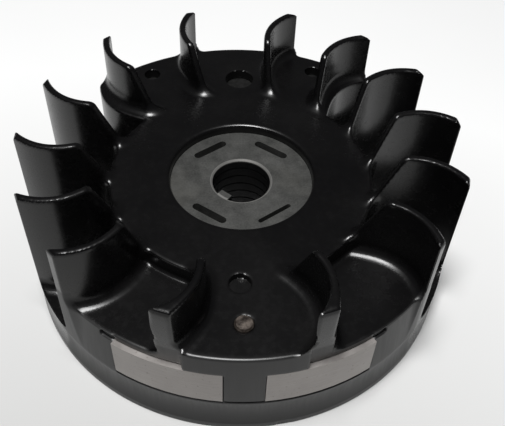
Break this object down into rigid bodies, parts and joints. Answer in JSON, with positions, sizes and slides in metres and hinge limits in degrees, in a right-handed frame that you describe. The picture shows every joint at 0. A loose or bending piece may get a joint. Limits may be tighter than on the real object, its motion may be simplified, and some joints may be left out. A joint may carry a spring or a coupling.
{
  "type": "small engine flywheel",
  "caption": "Flywheel with a bladed black moulded fan body, a stack of keyed steel hub plates, ignition magnet with ground pole shoes, and a counterweight.",
  "frame": {"origin": "on the crankshaft axis at the level of the base ring's foot", "axes": "+Z along the crankshaft axis towards the fan side, -Y towards the ignition magnet"},
  "size_m": [0.1604, 0.1604, 0.0633],
  "materials": {
    "moulded_black": "glossy glass-filled nylon with light scuffs",
    "stamped_steel": "matte phosphated steel plate with stamped edges",
    "ground_steel": "ground pole faces with fine grinding marks",
    "ferrite": "dark matte magnet",
    "plated_pin": "dull copper-toned pin end"
  },
  "bodies": {
    "root": {"base_ring": "moulded_black", "counterweight": "stamped_steel", "counterweight_housing": "moulded_black", "hub_boss": "moulded_black", "hub_collar": "moulded_black", "hub_drum": "moulded_black", "hub_plate_1": "stamped_steel", "hub_plate_2": "stamped_steel", "hub_plate_3": "stamped_steel", "hub_plate_4": "stamped_steel", "hub_plate_5": "stamped_steel", "hub_plate_6": "stamped_steel", "magnet": "ferrite", "magnet_housing": "moulded_black", "magnet_pin": "plated_pin", "pole_shoe_left": "ground_steel", "pole_shoe_right": "ground_steel", "vane_01": "moulded_black", "vane_02": "moulded_black", "vane_03": "moulded_black", "vane_04": "moulded_black", "vane_05": "moulded_black", "vane_06": "moulded_black", "vane_07": "moulded_black", "vane_08": "moulded_black", "vane_09": "moulded_black", "vane_10": "moulded_black", "vane_11": "moulded_black", "vane_12": "moulded_black", "vane_13": "moulded_black", "vane_14": "moulded_black"}
  },
  "joints": []
}
